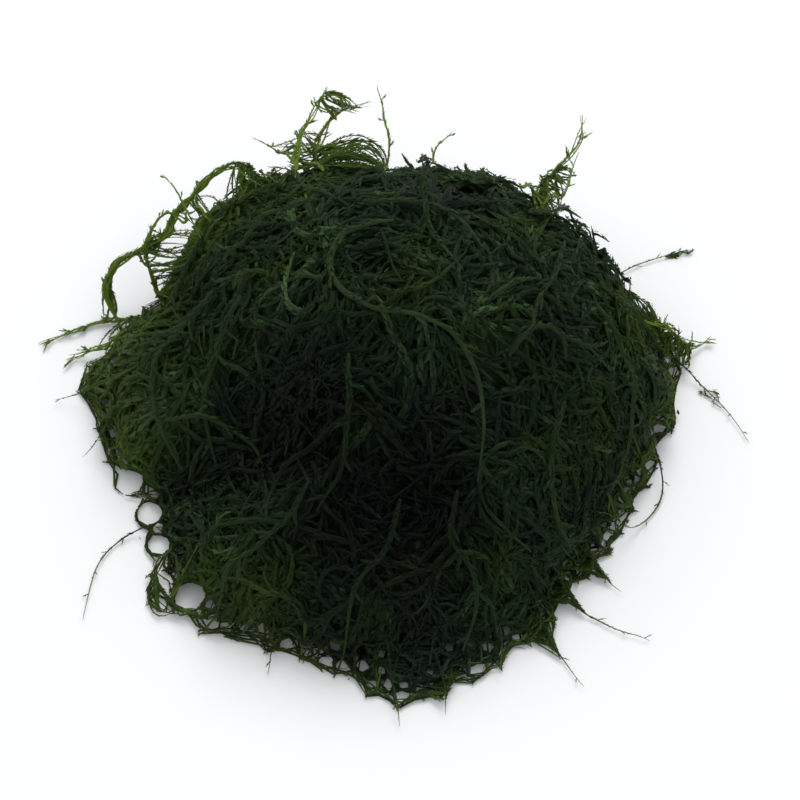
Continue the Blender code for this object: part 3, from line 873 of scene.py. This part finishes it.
# Each stem: its make, then the points that it runs through from root to tip, as in the part. First those out
# of the skirt, from the right round to the left
TRAILING_STEMS = {
    "trailing_stem_right": ("thread", [(38, 20), (45, 19), (51, 15), (56, 9), (60, 1)]),
    "tip_stem_right": ("fringe", [(41, 17), (48, 19), (55, 23)]),
    "trailing_stem_back_right": ("thread", [(30, 31), (38, 37), (45, 41), (54, 44)]),
    "trailing_stem_left": ("fringe", [(-45, 26), (-53, 27), (-59, 25), (-64, 22)]),
    "forked_tip_left": ("fringe", [(-48, 22), (-53, 20), (-59, 19)]),
    "tip_stem_left": ("thread", [(-47, 12), (-54, 10), (-60, 10)]),
    "short_tip_left": ("thread", [(-43, 3), (-49, 1), (-54, -2)]),
    "long_tip_front_left": ("thread", [(-34, -14), (-41, -16), (-46, -18), (-50, -24), (-51, -33)]),
    "looped_stem_front_left": ("thread", [(-32, -17), (-38, -22), (-41, -28), (-38, -32), (-31, -33)]),
    "tip_stem_front_left": ("thread", [(-19, -33), (-20, -38), (-21, -43)]),
    "tip_stem_front": ("thread", [(-2, -41), (-1, -46), (0, -52)]),
    "short_tip_front": ("thread", [(5, -40), (7, -45), (7, -50)]),
    "tip_stem_front_right": ("thread", [(14, -34), (16, -38), (16, -43)]),
    "long_tip_front_right": ("thread", [(19, -30), (23, -35), (25, -39), (29, -45)]),
    "trailing_stem_front_right": ("thread", [(22, -26), (27, -30), (33, -34), (40, -37)]),
    "tip_stem_lower_right": ("thread", [(28, -20), (32, -24), (36, -28)]),
    "looped_stem_right": ("thread", [(36, 1), (40, -1), (44, -6), (43, -12), (38, -17), (32, -19)]),
}
# Draped over the top and the sides
DRAPED_STEMS = {
    "curled_stem_top": (
        "pale",
        [(-1, 18), (-9, 16), (-11, 10), (-8, 4), (0, 0), (8, -3), (12, -8), (13, -14), (12, -21)],
    ),
    "crossing_stem_top": ("leafy", [(-6, 23), (2, 22), (9, 19), (13, 13)]),
    "forked_stem_top": ("leafy", [(4, 27), (4, 20), (6, 13), (10, 8)]),
    "draped_stem_back_right": ("leafy", [(27, 20), (25, 12), (22, 5), (20, -2)]),
    "draped_stem_right": ("leafy", [(32, 10), (37, 3), (38, -4), (36, -12)]),
    "crossing_stem_right": ("leafy", [(17, -4), (22, 0), (28, 1), (34, -1)]),
    "hanging_stem_right": ("leafy", [(26, -8), (24, -15), (25, -22), (29, -27)]),
    "draped_stem_left": ("leafy", [(-31, 16), (-37, 11), (-41, 5), (-40, -3), (-36, -9)]),
    "curved_stem_left": ("leafy", [(-26, 12), (-30, 5), (-32, -3), (-30, -10)]),
    "crossing_stem_left": ("leafy", [(-38, -6), (-31, -5), (-25, -8), (-22, -14)]),
    "hanging_stem_middle": ("leafy", [(-8, -4), (-8, -12), (-9, -19), (-13, -25)]),
    "hanging_stem_front_left": ("leafy", [(-14, -20), (-18, -26), (-26, -30), (-30, -36)]),
    "hanging_stem_front": ("leafy", [(0, -23), (-2, -30), (-7, -35), (-9, -42)]),
    "hanging_stem_front_right": ("leafy", [(9, -21), (8, -28), (12, -34), (10, -41)]),
    "draped_stem_back_left": ("leafy", [(-20, 34), (-28, 33), (-35, 28), (-40, 20)]),
    "draped_stem_upper_left": ("leafy", [(-14, 25), (-21, 24), (-27, 20), (-31, 24)]),
    "crossing_stem_back": ("leafy", [(21, 44), (12, 49), (2, 50), (-8, 51)]),
    "hanging_stem_back": ("leafy", [(3, 47), (5, 52), (3, 58)]),
    "hanging_stem_back_right": ("leafy", [(21, 24), (26, 29), (29, 35), (32, 40)]),
    "trailing_stem_back": ("leafy", [(-16, 47), (-20, 52), (-21, 58), (-26, 62)]),
}
# Raised clear of the tangle, round its back
RAISED_STEMS = {
    "arched_stem_outer": (
        "arch",
        [
            (-50, 25), (-52, 29), (-51, 32), (-48, 34), (-44, 35),
            (-41, 37), (-40, 41), (-34, 47), (-28, 50), (-20, 45),
        ],
    ),
    "arched_stem_inner": (
        "strut",
        [(-41, 23), (-43, 29), (-45, 33), (-44, 37), (-41, 40), (-38, 37), (-36, 32), (-34, 28)],
    ),
    "standing_stem_back_right": ("fringe", [(20, 30), (24, 37), (27, 43), (31, 47), (32, 52)]),
    "standing_stem_right": ("sprig", [(24, 29), (28, 36), (30, 42), (31, 45)]),
    "looped_stem_back": ("fringe", [(-13, 38), (-15, 46), (-14, 52), (-11, 56), (-5, 58)]),
    "flap_stem_back": ("fringe", [(-18, 38), (-18, 47), (-16, 54), (-13, 59)]),
    "standing_stem_back": ("sprig", [(-3, 38), (-2, 48), (-3, 55), (-4, 61)]),
    "thin_stem_back_left": ("sprig", [(-18, 40), (-21, 47), (-26, 51)]),
    "spike_stem_back_left": ("sprig", [(-33, 34), (-38, 41), (-42, 47)]),
    "spike_stem_back": ("sprig", [(6, 42), (6, 47), (9, 52)]),
}
STEMS = TRAILING_STEMS | DRAPED_STEMS | RAISED_STEMS

# Threads hung between two stems: the stems, how many, which stretch of each stem they are tied to, and the
# most that their middles rise or sag, in millimetres
BRIDGES = [
    ("arched_stem_outer", "arched_stem_inner", 12, (0.26, 0.42), (0.28, 0.52), -1.0),
    ("arched_stem_outer", "trailing_stem_left", 4, (0.11, 0.16), (0.40, 0.46), -1.0),
    ("arched_stem_inner", "draped_stem_back_left", 36, (0.03, 0.33), (0.95, 0.64), -1.0),
    ("arched_stem_inner", "draped_stem_back_left", 9, (0.33, 0.42), (0.64, 0.54), -1.0),
    ("arched_stem_outer", "draped_stem_back_left", 9, (0.56, 0.60), (0.46, 0.50), -1.0),
    ("arched_stem_outer", "draped_stem_back_left", 40, (0.77, 1.00), (0.30, 0.00), -1.0),
    ("looped_stem_back", "standing_stem_back", 40, (0.10, 0.42), (0.00, 0.28), 4.0),
    ("looped_stem_back", "flap_stem_back", 26, (0.15, 0.60), (0.15, 0.60), -1.0),
    ("flap_stem_back", "looped_stem_back", 18, (0.90, 1.00), (0.72, 0.95), -1.0),
    ("flap_stem_back", "thin_stem_back_left", 8, (0.30, 0.60), (0.40, 0.80), -1.0),
    ("standing_stem_back_right", "standing_stem_right", 22, (0.25, 0.60), (0.30, 0.80), -1.0),
    ("standing_stem_back_right", "hanging_stem_back_right", 26, (0.15, 0.55), (0.15, 0.50), -1.0),
]
FLAPS = [
    ("looped_stem_front_left", "looped_stem_front_left", 24, (0.25, 0.60), (0.45, 0.80), -1.0),
    ("trailing_stem_left", "forked_tip_left", 12, (0.00, 0.30), (0.00, 0.50), -1.0),
    ("tip_stem_right", "trailing_stem_right", 70, (0.15, 0.75), (0.12, 0.42), -1.0),
    ("trailing_stem_back_right", "trailing_stem_back_right", 8, (0.80, 0.93), (0.87, 1.00), -1.0),
    ("trailing_stem_right", "trailing_stem_right", 4, (0.50, 0.66), (0.60, 0.74), -1.0),
]
# Stems that stand in the broad foot of a tooth: the stem, how many threads run down it, the stretch that
# they reach, and how far along the rim they start to either side, in degrees
WEBBED_STEMS = [
    ("long_tip_front_right", 44, (0.30, 0.72), 4.5),
    ("trailing_stem_front_right", 36, (0.22, 0.50), 4.0),
    ("tip_stem_lower_right", 26, (0.45, 0.85), 4.0),
    ("tip_stem_front_left", 18, (0.40, 0.80), 3.5),
    ("short_tip_front", 22, (0.50, 0.85), 4.0),
    ("short_tip_left", 20, (0.40, 0.75), 3.5),
    ("long_tip_front_left", 16, (0.20, 0.34), 3.0),
]

# A make of stem: strands side by side, width beside a full frond, width of its cord, share of leaves kept,
# tint, warm, painted glow, pale, and the length and spacing of its side shoots
MAKES = {
    "thread": (1, 0.60, 0.45, 0.40, 0.4, 0.5, 0.5, 0.0, 2.0, 4.0),
    "arch": (6, 0.95, 0.80, 0.50, 0.8, 0.8, 0.75, 0.0, 2.0, 6.0),
    "strut": (2, 0.90, 0.60, 0.50, 0.6, 0.8, 0.7, 0.0, 2.0, 6.0),
    "fringe": (3, 0.90, 0.50, 0.60, 0.8, 0.8, 0.9, 0.0, 2.5, 3.5),
    "sprig": (1, 0.80, 0.45, 0.60, 0.7, 0.8, 0.8, 0.2, 2.0, 5.0),
    "leafy": (1, 1.00, 0.90, 0.60, 0.7, 0.35, 0.0, 0.12, 4.0, 5.0),
    "pale": (1, 1.00, 1.05, 0.50, 0.9, 0.15, 0.0, 0.35, 3.5, 8.0),
}


def smooth_route(points):
    """A smooth curve through the points, at about even steps."""
    points = np.array(points, float)
    ends = np.concatenate([[2 * points[0] - points[1]], points, [2 * points[-1] - points[-2]]])
    route = []
    for before, start, end, after in zip(ends, ends[1:], ends[2:], ends[3:]):
        count = max(2, round(np.linalg.norm(end - start) / POINT_SPACING))
        t = np.arange(count)[:, None] / count
        bend = (end - before) * t + (2 * before - 5 * start + 4 * end - after) * t**2
        route.append(start + (bend + (3 * start - before - 3 * end + after) * t**3) / 2)
    return np.concatenate(route + [points[-1:]])


def stem_route(name):
    """A stem's route. Its heights are those where upright lines pass through its own node."""
    tree = node_tree(name)
    flat = smooth_route(STEMS[name][1])
    found = []
    for i, (x, y) in enumerate(flat):
        crossings = []
        hit = below(tree, x, y)
        while hit:
            crossings.append(hit.z)
            hit = below(tree, x, y, hit.z - 0.01)
        middles = [(a + b) / 2 for a, b in zip(crossings[::2], crossings[1::2])]
        if middles:
            last = found[-1][1] if found else middles[-1]
            found.append((i, min(middles, key=lambda height: abs(height - last))))
    heights = np.interp(range(len(flat)), *zip(*found))
    for _ in range(4):
        heights[1:-1] = (heights[:-2] + heights[1:-1] + heights[2:]) / 3
    return np.concatenate([flat, heights[:, None]], axis=-1)


def side_shoots(route, spacing, length):
    """Short curved routes that leave a stem on both sides in turn."""
    every = max(2, round(spacing / POINT_SPACING))
    places = np.arange(every, len(route) - 2, every)
    along = unit(np.gradient(route, axis=0))[places]
    points = max(4, round(length / POINT_SPACING))
    hand = np.where(np.arange(len(places)) % 2, 1, -1) * rng.uniform(0.6, 1.4, len(places))
    angle = hand[:, None] * math.radians(SHOOT_ANGLE)
    way = along * np.cos(angle) + unit(np.cross(along, UP)) * np.sin(angle)
    way = unit(way + UP * rng.uniform(-0.1, 0.45, len(places))[:, None])
    sweep = unit(np.cross(UP, way)) * (rng.normal(0, 0.05, len(places)) - 0.02 * hand)[:, None]
    distance = np.arange(points)[:, None] * POINT_SPACING * rng.uniform(0.6, 1.15, (len(places), 1, 1))
    return route[places][:, None] + way[:, None] * distance + (sweep[:, None] - 0.02 * UP) * distance**2


def stem_fronds(names, lift=0.0):
    faces = Faces()
    for name in names:
        make = STEMS[name][0]
        strands, width, cord, leafiness, tint, warm, fringe, pale, length, spacing = MAKES[make]
        middle = stem_route(name)
        for strand in range(strands):
            route = middle + wander(len(middle), 0.12 if strand == 0 else 0.6) + lift * UP
            own = rng.normal(0, 0.1, 2)
            # The make's painted glow, on threads growing towards the tip, and painted shade round the listed
            # dark places
            tones = {
                "tint": tint + own[0],
                "warm": warm + own[1],
                "fringe": fringe * (ease(np.linspace(0, 1, len(route)), 0.3, 0.8) if make == "thread" else 1),
                "shade": STEM_SHADE * near(PAINTED_SHADE_PLACES, route[:, :2]),
                "pale": pale,
            }
            size = width if strand == 0 else 0.7 * width
            fronds(faces, route[None], UP, np.array([size]), tones, leafiness, cord, 2)
            shoots = side_shoots(route, spacing, length)
            if len(shoots):
                # The side shoots get the painted shade of their own places and less painted glow
                tones["shade"] = STEM_SHADE * near(PAINTED_SHADE_PLACES, shoots[..., :2])
                tones["fringe"] = 0.6 * fringe
                fronds(faces, shoots, UP, np.full(len(shoots), 0.72 * size), tones, leafiness, cord, 2)
    return faces


def wander(count, reach):
    """Small smooth swings to the side and up and down along a route, none at its root."""
    place = np.arange(count)
    swings = [np.sin(place * rng.uniform(0.15, 0.4) + rng.uniform(0, 6)) for _ in range(3)]
    return np.stack(swings, axis=-1) * reach * np.minimum(1, place / 8)[:, None] * [1, 1, 0.7]


def bridges(faces, rows, most_lit):
    """Thin threads from one stem to another, slack between their ends."""
    for start_name, end_name, count, start_stretch, end_stretch, rise in rows:
        one = stem_route(start_name)
        other = stem_route(end_name)
        for _ in range(count):
            share = rng.uniform()
            start = along_route(one, start_stretch, share)
            end = along_route(other, end_stretch, np.clip(share + rng.normal(0, 0.25), 0, 1))
            slack = 0.5 + 0.08 * np.linalg.norm(end - start)
            bow = rng.normal(0, slack, 3) * [1, 1, 0.5] + UP * rise * rng.uniform()
            lit = (0.2 * most_lit, most_lit)
            slack_thread(faces, start, end, bow, 0.6, lit, (0.5, 1.1), 0.5)


def web_stem(faces, name, count, stretch, half_angle):
    """Threads that leave the net's edge on both sides of a stem and run together along it to a point."""
    stem = stem_route(name)
    for _ in range(count):
        end = along_route(stem, stretch, rng.uniform() ** 1.5)
        turn = math.atan2(end[1], end[0]) + math.radians(half_angle) * rng.uniform(-1, 1)
        way = np.array([math.cos(turn), math.sin(turn)])
        foot = way * (tangle.at_rim(tangle.edge, way) - rng.uniform(0.5, 3.0))
        start = np.append(foot, min(float(tangle.height(foot)), 2.0) * rng.uniform(0.2, 0.8) + 0.2)
        bow = rng.normal(0, 0.25, 3) * [1, 1, 0.5]
        slack_thread(faces, start, end, bow, 0.45, (0.0, 0.32), (0.6, 1.1), 0.4)


def along_route(route, stretch, share):
    """The point of a route at a share of the way along a stretch of it."""
    place = stretch[0] + (stretch[1] - stretch[0]) * share
    return route[int(place * (len(route) - 1))]


def build():
    moss = moss_material("moss_leaves", 1.0)
    # The deep fronds' leaves, 2.2 times brighter: painted light in place of the light that the fronds above
    # keep from them
    inside = moss_material("inner_leaves_painted_light", 2.2)
    shoot = moss_material("shoot_leaves", 1.1)
    make_core()
    for name, *layer in LAYERS:
        faces, laid = cover(*layer)
        faces.make(name, inside if name == "deep_fronds" else moss)
    shoots = Faces()
    for routes in laid:
        for row in FORKS:
            fork(shoots, routes, *row)
    shoots.make("side_shoots", moss)
    skirt_net().make("skirt_net", moss)
    underside().make("underside_fronds", moss)
    trailing = stem_fronds(TRAILING_STEMS)
    bridges(trailing, FLAPS, 0.45)
    for row in WEBBED_STEMS:
        web_stem(trailing, *row)
    trailing.make("trailing_fronds", shoot, "shoot", TRAILING_STEMS)
    stem_fronds(DRAPED_STEMS, DRAPED_LIFT).make("draped_fronds", shoot, "shoot", DRAPED_STEMS)
    raised = stem_fronds(RAISED_STEMS)
    bridges(raised, BRIDGES, 0.7)
    raised.make("raised_fronds", shoot, "shoot", RAISED_STEMS, [])


make_camera()
make_floor()
light_room()
build()
